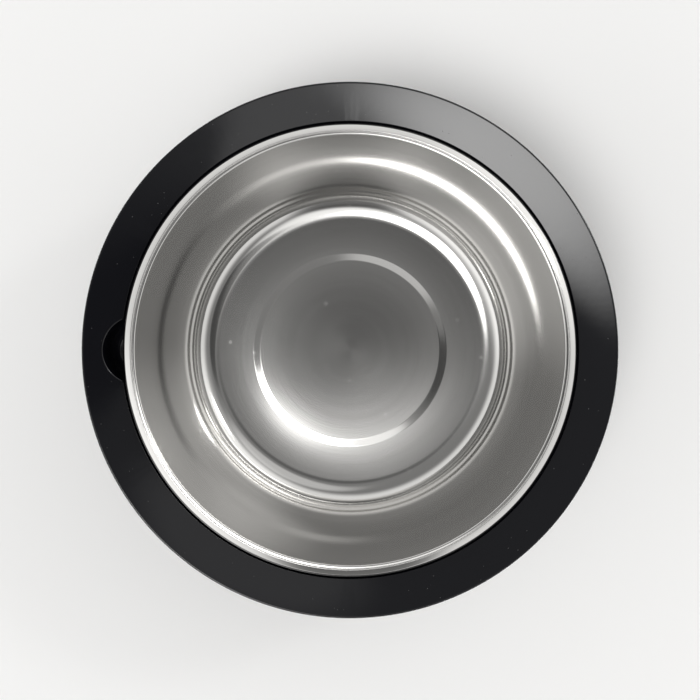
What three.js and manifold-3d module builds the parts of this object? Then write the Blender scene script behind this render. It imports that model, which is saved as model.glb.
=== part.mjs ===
// Weighted dog bowl: a heavy plastic base with a lift-out stainless steel bowl.
// Lengths are millimetres, +Z is up, and z = 0 is the surface under the feet.
// The axis of every ring is the Z axis, and the finger scoop is on the -X side.
import * as THREE from 'three';
import { mergeVertices, toCreasedNormals } from 'three/addons/utils/BufferGeometryUtils.js';
import Module from 'manifold-3d';

const wasm = await Module();
wasm.setup();

const degrees = THREE.MathUtils.degToRad;

// Steel bowl
const bowlRimRadius = 105; // outside of the rolled rim
const bowlHeight = 70; // underside to the top of the rolled rim
const bowlSheet = 0.8; // sheet thickness
const bowlBeadRadius = 3.1; // section of the rolled rim
const bowlCornerRadius = 16; // outside, between floor and wall
const wallLean = degrees(16); // walls of bowl and well, from upright
const curlSweep = degrees(282); // how far the rim's sheet is rolled round

// Fits
const seatingGap = 0.3; // between faces that rest on each other
const rimClearance = 0.5; // round the rolled rim in its recess
const bowlWallClearance = 0.95; // between bowl wall and well wall
const bowlFloorClearance = 3; // between bowl floor and well floor
const coverClearance = 0.4; // round the cover inside the skirt
const ballastClearance = 2; // ballast ring to well, ledge and cups
const footClearance = 0.4; // round a foot in its recess
const headClearance = 0.5; // round a screw head in its cup

// Base shell
const shellWall = 2.6;
const recessHeight = 1.5; // step round the seat of the rolled rim
const brimWidth = 17.6;
const brimLean = degrees(18); // seat and brim, from level
const brimEdgeRadius = 1.3;
const skirtLean = degrees(3.5); // skirt, from upright
const skirtFloorGap = 1.5; // skirt's lower edge above the surface
const wellCornerRadius = 6.5; // inside, between floor and wall
const wellFloorRoom = 2; // between well and cover
const ledgeWidth = 5; // ring inside the skirt that the cover closes on
const ledgeHeight = 3;

// Finger scoop
const scoopRadius = 15.7;
const scoopInset = 7; // scoop's centre inside the rolled rim's outside
const scoopDepth = 7; // below the lip of the well
const scoopCornerRadius = 7;
const scoopLean = degrees(3); // scoop's wall, from upright

// Screw posts and ribs of the shell
const fastenerCount = 6;
const postRadius = 4.5;
const ribThickness = 2;
const pilotTipRoom = 2; // pilot hole beyond the screw's tip

// Bottom cover
const coverThickness = 2.6;
const coverPanelRadius = 66; // raised panel in the middle
const coverPanelRise = 0.8;
const cupWall = 1.8; // cups that sink the screw heads
const cupDepth = 3;
const cupFloor = 2.2;

// Cover seal
const sealThickness = 1;
const sealWidth = 3.6;

// Ballast ring and its pads
const ballastThickness = 9;
const ballastEdgeChamfer = 1;
const padThickness = 1.5;
const padRadius = 5;
const padInset = 4; // pad's edge inside the ballast ring's bore

// Screws
const screwHeadRadius = 3.7;
const screwHeadHeight = 2.4;
const screwShankRadius = 1.75;
const screwLength = 16;
const screwTipLength = 3;
const driveSlotWidth = 1;
const driveSlotLength = 4.2;
const driveSlotDepth = 1.3;

// Feet
const footRadius = 10;
const footStandoff = 2.5; // below the cover's underside
const footRecessDepth = 1;
const footEdgeMargin = 4; // foot recess to the cover's edge
const footEdgeRadius = 1;
const stemRadius = 2.5;
const barbRadius = 3.6;
const barbHeight = 1.5;

// Steps of the curved surfaces
const ringSides = 60;
const smallSides = 12;
const arcSteps = 4;
const curlSteps = 10;
const overrun = 5; // of a cutting tool past the face that it cuts
const weldDistance = 1e-4;
const creaseAngle = degrees(35);

/** A point of a section: distance from the axis, height, and rounding there. */
function corner(r, z, rounding = 0) {
  return { point: new THREE.Vector2(r, z), rounding };
}

/** Points from angle to angle on a circle of a section. */
function arc(centre, radius, fromAngle, toAngle, steps) {
  const points = [];
  for (let step = 0; step <= steps; step += 1) {
    const angle = fromAngle + ((toAngle - fromAngle) * step) / steps;
    const spoke = new THREE.Vector2(Math.cos(angle), Math.sin(angle));
    points.push(spoke.multiplyScalar(radius).add(centre));
  }
  return points;
}

/** The arc that rounds the corner between two neighbours of a section. */
function roundedCorner(before, here, after, rounding, steps) {
  const back = before.clone().sub(here).normalize();
  const ahead = after.clone().sub(here).normalize();
  const halfAngle = Math.acos(THREE.MathUtils.clamp(back.dot(ahead), -1, 1)) / 2;
  const middle = back.clone().add(ahead).normalize();
  const centre = here.clone().addScaledVector(middle, rounding / Math.sin(halfAngle));
  const reach = rounding / Math.tan(halfAngle);
  const start = here.clone().addScaledVector(back, reach).sub(centre).angle();
  let end = here.clone().addScaledVector(ahead, reach).sub(centre).angle();
  if (end - start > Math.PI) end -= 2 * Math.PI;
  if (end - start < -Math.PI) end += 2 * Math.PI;
  return arc(centre, rounding, start, end, steps);
}

/** The points of a section whose corners may be rounded. */
function section(corners, steps = arcSteps) {
  return corners.flatMap(({ point, rounding }, place) => {
    if (!rounding) return [point];
    const before = corners[place - 1].point;
    const after = corners[place + 1].point;
    return roundedCorner(before, point, after, rounding, steps);
  });
}

/** Where a line through one point meets a line through another. */
function meet(pointA, alongA, pointB, alongB) {
  const between = pointB.clone().sub(pointA);
  return pointA.clone().addScaledVector(alongA, between.cross(alongB) / alongA.cross(alongB));
}

/** The point of a sloping line at a height. */
function atHeight(point, along, z) {
  return point.clone().addScaledVector(along, (z - point.y) / along.y);
}

/** Merged corners, without the empty triangles on the axis. */
function welded(geometry) {
  const bare = geometry.clone();
  bare.deleteAttribute('normal');
  bare.deleteAttribute('uv');
  const merged = mergeVertices(bare, weldDistance);
  const { array } = merged.index;
  const kept = [];
  for (let place = 0; place < array.length; place += 3) {
    const [a, b, c] = array.slice(place, place + 3);
    if (a !== b && b !== c && c !== a) kept.push(a, b, c);
  }
  merged.setIndex(kept);
  return merged;
}

/** A geometry as a solid that can be joined and cut. */
function solid(geometry) {
  const closed = welded(geometry);
  const vertProperties = new Float32Array(closed.attributes.position.array);
  const triVerts = new Uint32Array(closed.index.array);
  return new wasm.Manifold(new wasm.Mesh({ numProp: 3, vertProperties, triVerts }));
}

/** A solid as a geometry. */
function surface(body) {
  const { vertProperties, triVerts } = body.getMesh();
  const geometry = new THREE.BufferGeometry();
  geometry.setAttribute('position', new THREE.BufferAttribute(vertProperties, 3));
  geometry.setIndex(new THREE.BufferAttribute(triVerts, 1));
  return geometry;
}

/** A section turned about the Z axis. */
function turned(points, sides = ringSides) {
  return new THREE.LatheGeometry(points, sides).rotateX(Math.PI / 2);
}

/** A turned section that closes on itself. */
function turnedRing(points, sides = ringSides) {
  return turned([...points, points[0]], sides);
}

/** A round bar between two heights, its axis at x, y. */
function bar(radius, low, high, x = 0, y = 0) {
  const geometry = new THREE.CylinderGeometry(radius, radius, high - low, smallSides);
  return geometry.rotateX(Math.PI / 2).translate(x, y, (low + high) / 2);
}

/** A turning about Z for each of the equally spaced places, from a first angle. */
function spacedAngles(count, firstAngle) {
  return Array.from({ length: count }, (_, place) => firstAngle + (place * 2 * Math.PI) / count);
}

const shellFinish = new THREE.MeshStandardMaterial({ color: 0x101012, roughness: 0.14, metalness: 0 });
const coverFinish = new THREE.MeshStandardMaterial({ color: 0x1a1a1c, roughness: 0.6, metalness: 0 });
const steelFinish = new THREE.MeshStandardMaterial({ color: 0xc9c6c1, roughness: 0.18, metalness: 1 });
const screwFinish = new THREE.MeshStandardMaterial({ color: 0x8f9092, roughness: 0.35, metalness: 1 });
const ironFinish = new THREE.MeshStandardMaterial({ color: 0x3b3c3e, roughness: 0.75, metalness: 0.6 });
const rubberFinish = new THREE.MeshStandardMaterial({ color: 0x232324, roughness: 0.85, metalness: 0 });

/** A named sub-part. */
function part(name, geometry, material) {
  const mesh = new THREE.Mesh(toCreasedNormals(welded(geometry), creaseAngle), material);
  mesh.name = name;
  return mesh;
}

// Heights, from the surface up
const coverUnderside = footStandoff;
const coverTop = coverUnderside + coverThickness;
const wellUnderside = coverTop + coverPanelRise + wellFloorRoom;
const wellFloor = wellUnderside + shellWall;
const bowlUnderside = wellFloor + bowlFloorClearance;
const ballastUnderside = coverTop + padThickness + 2 * seatingGap;
const ballastTop = ballastUnderside + ballastThickness;
const ledgeUnderside = coverTop + sealThickness + 2 * seatingGap;
const ledgeTop = ledgeUnderside + ledgeHeight;

// The rolled rim's centre, and the lines of wall, seat, brim and skirt in the section
const beadCentre = new THREE.Vector2(
  bowlRimRadius - bowlBeadRadius,
  bowlUnderside + bowlHeight - bowlBeadRadius,
);
const wallUp = new THREE.Vector2(Math.sin(wallLean), Math.cos(wallLean));
const wallOutward = new THREE.Vector2(Math.cos(wallLean), -Math.sin(wallLean));
const bowlWallInside = beadCentre.clone().addScaledVector(wallOutward, -bowlBeadRadius);
const bowlWallOutside = bowlWallInside.clone().addScaledVector(wallOutward, bowlSheet);
const wellWallInside = bowlWallOutside.clone().addScaledVector(wallOutward, bowlWallClearance);
const wellWallOutside = wellWallInside.clone().addScaledVector(wallOutward, shellWall);

const brimOutward = new THREE.Vector2(Math.cos(brimLean), Math.sin(brimLean));
const brimDown = new THREE.Vector2(Math.sin(brimLean), -Math.cos(brimLean));
const seatPoint = beadCentre.clone().addScaledVector(brimDown, bowlBeadRadius + seatingGap);
const seatUnderPoint = seatPoint.clone().addScaledVector(brimDown, shellWall);

const level = new THREE.Vector2(1, 0);
const upright = new THREE.Vector2(0, 1);
const recessRadius = bowlRimRadius + rimClearance;
const lip = meet(wellWallInside, wallUp, seatPoint, brimOutward);
const recessFoot = meet(seatPoint, brimOutward, new THREE.Vector2(recessRadius, 0), upright);
const recessTop = recessFoot.clone().addScaledVector(upright, recessHeight);
const brimEdge = meet(
  recessTop,
  brimOutward,
  new THREE.Vector2(recessRadius + brimWidth, 0),
  upright,
);
const skirtDown = new THREE.Vector2(Math.sin(skirtLean), -Math.cos(skirtLean));
const skirtFoot = atHeight(brimEdge, skirtDown, skirtFloorGap);
const skirtInside = skirtFoot.clone().addScaledVector(level, -shellWall / Math.cos(skirtLean));
const skirtInsideAtLedge = atHeight(skirtInside, skirtDown, ledgeUnderside);
const coverRadius = skirtInsideAtLedge.x - coverClearance;
const ledgeRadius = skirtInsideAtLedge.x - ledgeWidth;

// Places round the ring
const ballastBore = atHeight(wellWallOutside, wallUp, ballastTop).x + ballastClearance;
const ballastRadius = ledgeRadius - ballastClearance;
const postCircle = (ballastBore + ballastRadius) / 2;
const footRecessRadius = footRadius + footClearance;
const footCircle = coverRadius - footRecessRadius - footEdgeMargin;
const padCircle = ballastBore + padInset + padRadius;
const screwAngles = spacedAngles(fastenerCount, Math.PI / fastenerCount);
const footAngles = spacedAngles(fastenerCount, 0);
const cupBore = screwHeadRadius + headClearance;
const cupRadius = cupBore + cupWall;
const cupCeiling = coverUnderside + cupDepth;
const cupTop = cupCeiling + cupFloor;
const pilotRadius = screwShankRadius + seatingGap;
const scoopCentre = bowlRimRadius - scoopInset;
const scoopFloor = lip.y - scoopDepth;

/** The base seen as one block, its underside closed. */
function shellBlock() {
  return turned(section([
    corner(0, skirtFloorGap),
    corner(skirtFoot.x, skirtFoot.y),
    corner(brimEdge.x, brimEdge.y, brimEdgeRadius),
    corner(recessTop.x, recessTop.y),
    corner(recessFoot.x, recessFoot.y),
    corner(lip.x, lip.y),
    corner(atHeight(wellWallInside, wallUp, wellFloor).x, wellFloor, wellCornerRadius),
    corner(0, wellFloor),
  ]));
}

/** The hollow under the shell: skirt, ledge, underside of brim and seat, and round the well. */
function shellHollow() {
  const underSeat = meet(wellWallOutside, wallUp, seatUnderPoint, brimOutward);
  const stepRadius = new THREE.Vector2(recessRadius + shellWall, 0);
  const underStep = meet(seatUnderPoint, brimOutward, stepRadius, upright);
  const overStep = underStep.clone().addScaledVector(upright, recessHeight);
  const underBrim = meet(overStep, brimOutward, skirtInside, skirtDown);
  const insideAtLedgeTop = atHeight(skirtInside, skirtDown, ledgeTop);
  const wellFoot = atHeight(wellWallOutside, wallUp, wellUnderside).x;
  return turned(section([
    corner(0, skirtFloorGap - overrun),
    corner(skirtInside.x, skirtFloorGap - overrun),
    corner(skirtInside.x, skirtFloorGap),
    corner(skirtInsideAtLedge.x, ledgeUnderside),
    corner(ledgeRadius, ledgeUnderside),
    corner(ledgeRadius, ledgeTop),
    corner(insideAtLedgeTop.x, ledgeTop),
    corner(underBrim.x, underBrim.y),
    corner(overStep.x, overStep.y),
    corner(underStep.x, underStep.y),
    corner(underSeat.x, underSeat.y),
    corner(wellFoot, wellUnderside, wellCornerRadius + shellWall),
    corner(0, wellUnderside),
  ]));
}

/** The finger scoop's pocket, or the outside of its wall. */
function scoopForm(wall) {
  const floor = scoopFloor - wall;
  const top = brimEdge.y + overrun;
  const spread = (top - lip.y) * Math.tan(scoopLean);
  const narrowing = (lip.y - floor) * Math.tan(scoopLean);
  const form = turned(section([
    corner(0, floor),
    corner(scoopRadius + wall - narrowing, floor, scoopCornerRadius + wall),
    corner(scoopRadius + wall + spread, top),
    corner(0, top),
  ]), ringSides / 2);
  return form.translate(-scoopCentre, 0, 0);
}

/** A rib across the hollow, from well wall to skirt, under the brim. */
function rib(angle) {
  const low = ballastTop + seatingGap;
  const sink = shellWall / 2;
  const wallLow = atHeight(wellWallInside, wallUp, low);
  const wallHigh = meet(wellWallInside, wallUp, seatUnderPoint, brimOutward);
  const skirtHigh = meet(seatUnderPoint, brimOutward, skirtInside, skirtDown);
  const skirtLow = atHeight(skirtInside, skirtDown, low);
  const shape = new THREE.Shape([
    new THREE.Vector2(wallLow.x + sink, low),
    new THREE.Vector2(skirtLow.x + sink, low),
    new THREE.Vector2(skirtHigh.x + sink, skirtHigh.y + recessHeight + sink),
    new THREE.Vector2(recessRadius + shellWall, recessTop.y - sink),
    new THREE.Vector2(wallHigh.x + sink, wallHigh.y + sink),
  ]);
  const extrusion = new THREE.ExtrudeGeometry(shape, { depth: ribThickness, bevelEnabled: false });
  return extrusion.translate(0, 0, -ribThickness / 2).rotateX(Math.PI / 2).rotateZ(angle);
}

/** The glossy shell: brim, seat, scoop, well, skirt, ribs and screw posts. */
function baseShell() {
  const block = solid(shellBlock());
  let shell = block.subtract(solid(shellHollow()));
  shell = shell.add(solid(scoopForm(shellWall)).intersect(block));
  const postEnd = cupTop + seatingGap;
  const pilotEnd = cupCeiling - seatingGap + screwLength + pilotTipRoom;
  for (const angle of screwAngles) {
    const x = postCircle * Math.cos(angle);
    const y = postCircle * Math.sin(angle);
    const post = solid(bar(postRadius, postEnd, brimEdge.y, x, y));
    shell = shell.add(post.add(solid(rib(angle))).intersect(block));
    shell = shell.subtract(solid(bar(pilotRadius, postEnd - overrun, pilotEnd, x, y)));
  }
  return surface(shell.subtract(solid(scoopForm(0))));
}

/** The cover under the base, with cups for the screw heads and recesses for the feet. */
function bottomCover() {
  const panelUnderside = coverUnderside + coverPanelRise;
  const panelTop = coverTop + coverPanelRise;
  let cover = solid(turned(section([
    corner(0, panelUnderside),
    corner(coverPanelRadius, panelUnderside),
    corner(coverPanelRadius + coverPanelRise, coverUnderside),
    corner(coverRadius, coverUnderside),
    corner(coverRadius, coverTop),
    corner(coverPanelRadius + coverPanelRise, coverTop),
    corner(coverPanelRadius, panelTop),
    corner(0, panelTop),
  ])));
  for (const angle of screwAngles) {
    const x = postCircle * Math.cos(angle);
    const y = postCircle * Math.sin(angle);
    cover = cover.add(solid(bar(cupRadius, coverUnderside, cupTop, x, y)));
    cover = cover.subtract(solid(bar(cupBore, coverUnderside - overrun, cupCeiling, x, y)));
    cover = cover.subtract(solid(bar(pilotRadius, coverUnderside, cupTop + overrun, x, y)));
  }
  for (const angle of footAngles) {
    const x = footCircle * Math.cos(angle);
    const y = footCircle * Math.sin(angle);
    const recessCeiling = coverUnderside + footRecessDepth;
    const stemHole = bar(stemRadius + seatingGap, coverUnderside, coverTop + overrun, x, y);
    cover = cover.subtract(solid(bar(footRecessRadius, coverUnderside - overrun, recessCeiling, x, y)));
    cover = cover.subtract(solid(stemHole));
  }
  return surface(cover);
}

/** The flat ring that the cover presses against the ledge. */
function coverSeal() {
  const low = coverTop + seatingGap;
  return turnedRing(section([
    corner(coverRadius - sealWidth, low),
    corner(coverRadius, low),
    corner(coverRadius, low + sealThickness),
    corner(coverRadius - sealWidth, low + sealThickness),
  ]));
}

/** The iron ring that gives the base its weight, with a hole for each cup and post. */
function ballastRing() {
  let ring = solid(turnedRing(section([
    corner(ballastBore + ballastEdgeChamfer, ballastUnderside),
    corner(ballastRadius - ballastEdgeChamfer, ballastUnderside),
    corner(ballastRadius, ballastUnderside + ballastEdgeChamfer),
    corner(ballastRadius, ballastTop - ballastEdgeChamfer),
    corner(ballastRadius - ballastEdgeChamfer, ballastTop),
    corner(ballastBore + ballastEdgeChamfer, ballastTop),
    corner(ballastBore, ballastTop - ballastEdgeChamfer),
    corner(ballastBore, ballastUnderside + ballastEdgeChamfer),
  ])));
  const holeRadius = cupRadius + ballastClearance / 2;
  for (const angle of screwAngles) {
    const x = postCircle * Math.cos(angle);
    const y = postCircle * Math.sin(angle);
    ring = ring.subtract(solid(bar(holeRadius, ballastUnderside - overrun, ballastTop + overrun, x, y)));
  }
  return surface(ring);
}

/** A pad that keeps the ballast ring from rattling on the cover. */
function ballastPad() {
  return bar(padRadius, coverTop + seatingGap, coverTop + seatingGap + padThickness);
}

/** A self-tapping screw, its domed head down, with a cross for the driver. */
function coverScrew() {
  const headTop = cupCeiling - seatingGap;
  const headUnder = headTop - screwHeadHeight;
  const tip = headTop + screwLength;
  const blank = solid(turned(section([
    corner(0, headUnder),
    corner(screwHeadRadius, headUnder, screwHeadHeight / 2),
    corner(screwHeadRadius, headTop),
    corner(screwShankRadius, headTop),
    corner(screwShankRadius, tip - screwTipLength),
    corner(0, tip),
  ], arcSteps - 1), smallSides));
  const slot = new THREE.BoxGeometry(driveSlotLength, driveSlotWidth, 2 * driveSlotDepth);
  slot.translate(0, 0, headUnder);
  const crossSlot = slot.clone().rotateZ(Math.PI / 2);
  return surface(blank.subtract(solid(slot)).subtract(solid(crossSlot)));
}

/** A rubber foot: pad in the recess, stem through the cover, and a barb above it. */
function foot() {
  const padTop = coverUnderside + footRecessDepth - seatingGap;
  const barbLow = coverTop + seatingGap;
  return turned(section([
    corner(0, 0),
    corner(footRadius, 0, footEdgeRadius),
    corner(footRadius, padTop),
    corner(stemRadius, padTop),
    corner(stemRadius, barbLow),
    corner(barbRadius, barbLow),
    corner(stemRadius, barbLow + barbHeight),
    corner(0, barbLow + barbHeight),
  ], 2), smallSides);
}

/** The steel bowl: flat floor, leaning wall, and an open rolled rim. */
function steelBowl() {
  const tangentAngle = Math.PI - wallLean;
  const endAngle = tangentAngle - curlSweep;
  const outsideFoot = atHeight(bowlWallOutside, wallUp, bowlUnderside).x;
  const insideFoot = atHeight(bowlWallInside, wallUp, bowlUnderside + bowlSheet).x;
  const curlInside = arc(beadCentre, bowlBeadRadius - bowlSheet, tangentAngle, endAngle, curlSteps);
  const curlOutside = arc(beadCentre, bowlBeadRadius, endAngle, tangentAngle, curlSteps);
  const outside = section([
    corner(0, bowlUnderside),
    corner(outsideFoot, bowlUnderside, bowlCornerRadius),
    corner(curlInside[0].x, curlInside[0].y),
  ]);
  const inside = section([
    corner(bowlWallInside.x, bowlWallInside.y),
    corner(insideFoot, bowlUnderside + bowlSheet, bowlCornerRadius - bowlSheet),
    corner(0, bowlUnderside + bowlSheet),
  ]);
  return turned([...outside, ...curlInside.slice(1), ...curlOutside, ...inside.slice(1)]);
}

const base = new THREE.Group();
base.add(part('base_shell', baseShell(), shellFinish));
base.add(part('bottom_cover', bottomCover(), coverFinish));
base.add(part('cover_seal', coverSeal(), rubberFinish));
base.add(part('ballast_ring', ballastRing(), ironFinish));

const screwGeometry = coverScrew();
screwAngles.forEach((angle, place) => {
  const screw = part(`cover_screw_${place + 1}`, screwGeometry, screwFinish);
  screw.position.set(postCircle * Math.cos(angle), postCircle * Math.sin(angle), 0);
  base.add(screw);
});

const footGeometry = foot();
const padGeometry = ballastPad();
footAngles.forEach((angle, place) => {
  const rubberFoot = part(`foot_${place + 1}`, footGeometry, rubberFinish);
  rubberFoot.position.set(footCircle * Math.cos(angle), footCircle * Math.sin(angle), 0);
  const pad = part(`ballast_pad_${place + 1}`, padGeometry, rubberFinish);
  pad.position.set(padCircle * Math.cos(angle), padCircle * Math.sin(angle), 0);
  base.add(rubberFoot, pad);
});

const group = new THREE.Group();
group.add(base, part('steel_bowl', steelBowl(), steelFinish));

export default group;
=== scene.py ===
import math

import bmesh
import bpy
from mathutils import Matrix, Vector


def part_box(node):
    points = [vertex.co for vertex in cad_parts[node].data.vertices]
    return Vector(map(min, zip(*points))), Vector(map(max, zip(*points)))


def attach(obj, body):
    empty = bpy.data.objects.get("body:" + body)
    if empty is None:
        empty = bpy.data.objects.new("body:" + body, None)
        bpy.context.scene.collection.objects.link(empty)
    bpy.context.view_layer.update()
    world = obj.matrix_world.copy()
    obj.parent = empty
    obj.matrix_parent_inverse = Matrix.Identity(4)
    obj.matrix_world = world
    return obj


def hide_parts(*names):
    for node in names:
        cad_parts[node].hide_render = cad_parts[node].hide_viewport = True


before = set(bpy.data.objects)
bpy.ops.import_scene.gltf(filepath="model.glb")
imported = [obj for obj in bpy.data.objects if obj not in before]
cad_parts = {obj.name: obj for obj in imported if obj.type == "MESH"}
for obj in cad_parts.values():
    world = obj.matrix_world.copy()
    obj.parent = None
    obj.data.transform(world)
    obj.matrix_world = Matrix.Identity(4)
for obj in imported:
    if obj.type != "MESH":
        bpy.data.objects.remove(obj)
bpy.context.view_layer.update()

MM = 0.001

# Steps of the curved surfaces
RING_SIDES = 288
SMALL_SIDES = 48
SCOOP_SIDES = 144
ARC_STEP = math.radians(7)
WELD = 0.0005 * MM  # corners nearer than this are one
CREASE = math.radians(32)  # edges sharper than this stay crisp
SPINDLE = 1 * MM  # circle that a section is carried round
OVERRUN = 5 * MM  # of a cutting tool past the face that it cuts

# Sheet, walls and slopes, as the frame has them
BOWL_HEIGHT = 70 * MM
BOWL_SHEET = 0.8 * MM
BOWL_BEAD_RADIUS = 3.1 * MM
BOWL_CORNER_RADIUS = 16 * MM
WALL_LEAN = math.radians(16)
BRIM_LEAN = math.radians(18)
SKIRT_LEAN = math.radians(3.5)
SHELL_WALL = 2.6 * MM
WELL_CORNER_RADIUS = 6.5 * MM
SEATING_GAP = 0.3 * MM
RIM_CLEARANCE = 0.5 * MM
BOWL_WALL_CLEARANCE = 0.95 * MM
BOWL_FLOOR_CLEARANCE = 3 * MM
RECESS_HEIGHT = 1.5 * MM
RECESS_DRAFT = 0.6 * MM  # how far the recess opens from foot to top
BRIM_WIDTH = 17.6 * MM
LEDGE_WIDTH = 5 * MM
LEDGE_HEIGHT = 3 * MM

# Rolled rim of the steel bowl: its top slopes outwards, and a crease parts it from the wall
RIM_ROLL_RADIUS = 2.6 * MM
RIM_ROLL_DROP = 3.5 * MM  # roll's middle below the bowl's top
RIM_TOP_LEAN = math.radians(24)  # from level
RIM_CREST_INSET = 3.85 * MM  # from the outside of the rim
RIM_CREST_RADIUS = 0.3 * MM
RIM_CREASE_WIDTH = 0.5 * MM
RIM_CREASE_DEPTH = 0.65 * MM
RIM_CREASE_RADIUS = 0.1 * MM
RIM_SHOULDER_RADIUS = 0.9 * MM
RIM_SHOULDER_LEAN = math.radians(9)  # from level
CURL_SWEEP = math.radians(211)  # from the rim's top round to its open end

# Pressed panel in the steel bowl's floor
PANEL_RADIUS = 47 * MM
PANEL_RISE = 0.8 * MM
PANEL_SLOPE = 3.5 * MM
PANEL_ROUNDING = 4 * MM

# Edges of the shell
BRIM_EDGE_RADIUS = 0.8 * MM
LIP_RADIUS = 0.9 * MM
RECESS_FOOT_RADIUS = 0.35 * MM
RECESS_TOP_RADIUS = 0.4 * MM
SKIRT_FOOT_RADIUS = 0.8 * MM

# Satin disc in the middle of the well floor, with the fine groove round it
SATIN_RADIUS = 72.4 * MM
GROOVE_WIDTH = 0.9 * MM
GROOVE_DEPTH = 0.4 * MM
GROOVE_ROUNDING = 0.15 * MM

# Finger scoop
SCOOP_RADIUS = 15.7 * MM
SCOOP_INSET = 7 * MM
SCOOP_DEPTH = 7 * MM
SCOOP_CORNER_RADIUS = 7 * MM
SCOOP_LEAN = math.radians(3)
SCOOP_EDGE_RADIUS = 0.7 * MM

# Posts and ribs
POST_RADIUS = 4.5 * MM
RIB_THICKNESS = 2 * MM
PILOT_DEPTH = 18 * MM

# Bottom cover
COVER_THICKNESS = 2.6 * MM
COVER_PANEL_RADIUS = 66 * MM
COVER_PANEL_RISE = 0.8 * MM
COVER_EDGE_RADIUS = 0.6 * MM
CUP_WALL = 1.8 * MM
CUP_DEPTH = 3 * MM
CUP_FLOOR = 2.2 * MM
CUP_CHAMFER = 0.5 * MM
HEAD_CLEARANCE = 0.5 * MM
FOOT_CLEARANCE = 0.4 * MM
FOOT_RECESS_DEPTH = 1 * MM

# Seal
SEAL_WIDTH = 3.6 * MM
SEAL_BEAD_RADIUS = 0.35 * MM
SEAL_BEAD_SHARES = (0.25, 0.75)  # of the seal's width, from its bore

# Ballast ring
BALLAST_EDGE_RADIUS = 1.2 * MM
BALLAST_CLEARANCE = 2 * MM
PAD_INSET = 4 * MM  # pad's edge inside the ballast ring's bore

# Screws
SCREW_HEAD_RADIUS = 3.7 * MM
SCREW_HEAD_HEIGHT = 2.4 * MM
SCREW_SHANK_RADIUS = 1.75 * MM
SCREW_CORE_RADIUS = 1.4 * MM
SCREW_THREAD_RADIUS = 1.85 * MM
SCREW_THREAD_PITCH = 1.4 * MM
SCREW_THREAD_STEPS = 12  # rows of points to each pitch
SCREW_THREAD_ROOT_SHARE = 0.35  # of a sharp thread's height, filled at its root
SCREW_THREAD_REACH = 0.02 * MM  # how far from the core's surface a point still moves
SCREW_CHANCE_TURN = math.radians(45)  # either way
SCREW_CHANCE_SEED = 4
SCREW_LENGTH = 16 * MM
SCREW_TIP_LENGTH = 3 * MM
SCREW_COLLAR_LENGTH = 1.2 * MM
DRIVE_SLOT_WIDTH = 1 * MM
DRIVE_SLOT_LENGTH = 4.2 * MM
DRIVE_SLOT_DEPTH = 1.3 * MM

# Feet
FOOT_RADIUS = 10 * MM
FOOT_EDGE_RADIUS = 1 * MM
FOOT_DISH_RADIUS = 6.8 * MM
FOOT_DISH_DEPTH = 0.5 * MM
STEM_RADIUS = 2.5 * MM
BARB_RADIUS = 3.6 * MM
BARB_HEIGHT = 1.5 * MM

# Pads
PAD_EDGE_RADIUS = 0.4 * MM

# Screws, and as many posts, ribs, pads and feet
FASTENER_COUNT = 6

# Colours
MOULDED_BLACK = (0.0038, 0.0040, 0.0058)
DUST_GREY = (0.09, 0.09, 0.09)
STEEL_DEEP = (0.65, 0.643, 0.628)
STEEL_PALE = (0.73, 0.724, 0.712)
COVER_BLACK = (0.018, 0.018, 0.019)
COVER_GREY = (0.034, 0.034, 0.036)
RUBBER_BLACK = (0.018, 0.018, 0.018)
RUBBER_GREY = (0.043, 0.042, 0.040)
PRIMER_GREY = (0.045, 0.045, 0.047)
RUST_BROWN = (0.16, 0.062, 0.026)
ZINC_BRIGHT = (0.56, 0.57, 0.58)
ZINC_DULL = (0.42, 0.42, 0.40)
FLOOR_WHITE = (0.935, 0.935, 0.933)
ROOM_WHITE = (1, 0.995, 0.985)

# Depth of the relief on each finish
PEEL_DEPTH = 0.03 * MM
SPIN_LINE_DEPTH = 0.005 * MM
SPARK_DEPTH = 0.05 * MM
PORE_DEPTH = 0.03 * MM
SAND_DEPTH = 0.3 * MM
PLATING_DEPTH = 0.01 * MM

# Edges of the patterns
SATIN_FADE = 0.1 * MM  # either side of the satin disc's edge
SATIN_LIFT = 0.5 * MM  # above the well floor, where the satin starts to end
AXIS_ROOM = 0.1 * MM  # nearest to the axis that lines round it are told apart
SPECK_CORE_SHARE = 0.6  # of a speck's size, at full strength
SPECK_LOT_FADE = 0.01  # between the cells that have a speck and the others

# Camera, straight above the bowl
CAMERA_HEIGHT = 575 * MM
CAMERA_LENS = 55  # focal length in the camera's own millimetres

FLOOR_REACH = 4000 * MM

# Brightness of the studio, where 1 is white, and what is left of it in its dark places
WALL_LIGHT = 0.93
CEILING_LIGHT = 0.25
WINDOW_LIGHT = 7.4
SASH_LIGHT = 1.0
LOW_WINDOW_LIGHT = 0.4
LAMP_LIGHT = 12
LAMP_GLOW_LIGHT = 0.35
PALE_CORNER_LIGHT = 0.40
DARK_CORNER_SHARE = 0.3
DARK_DOOR_SHARE = 0.2
CAMERA_SHARE = 0.5

# Where the walls fade into the ceiling, as elevations in degrees
CEILING_FADE = (28, 48)

# Places in the studio, in degrees: azimuth from the right, elevation, and how far from the
# middle each one starts to fade and ends
WINDOW = (230, 66, 0, 18)
SASH = (272, 64, 4, 28)
LOW_WINDOW = (210, 30, 6, 36)
LAMP = (27, 36, 1, 6)
LAMP_GLOW = (35, 30, 6, 34)
PALE_CORNER = (62, 60, 10, 18)
DARK_CORNER = (337, 67, 12, 15.5)
DARK_DOOR = (272, 30, 10, 24)
CAMERA_PLACE = (0, 90, 2, 10)


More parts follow.
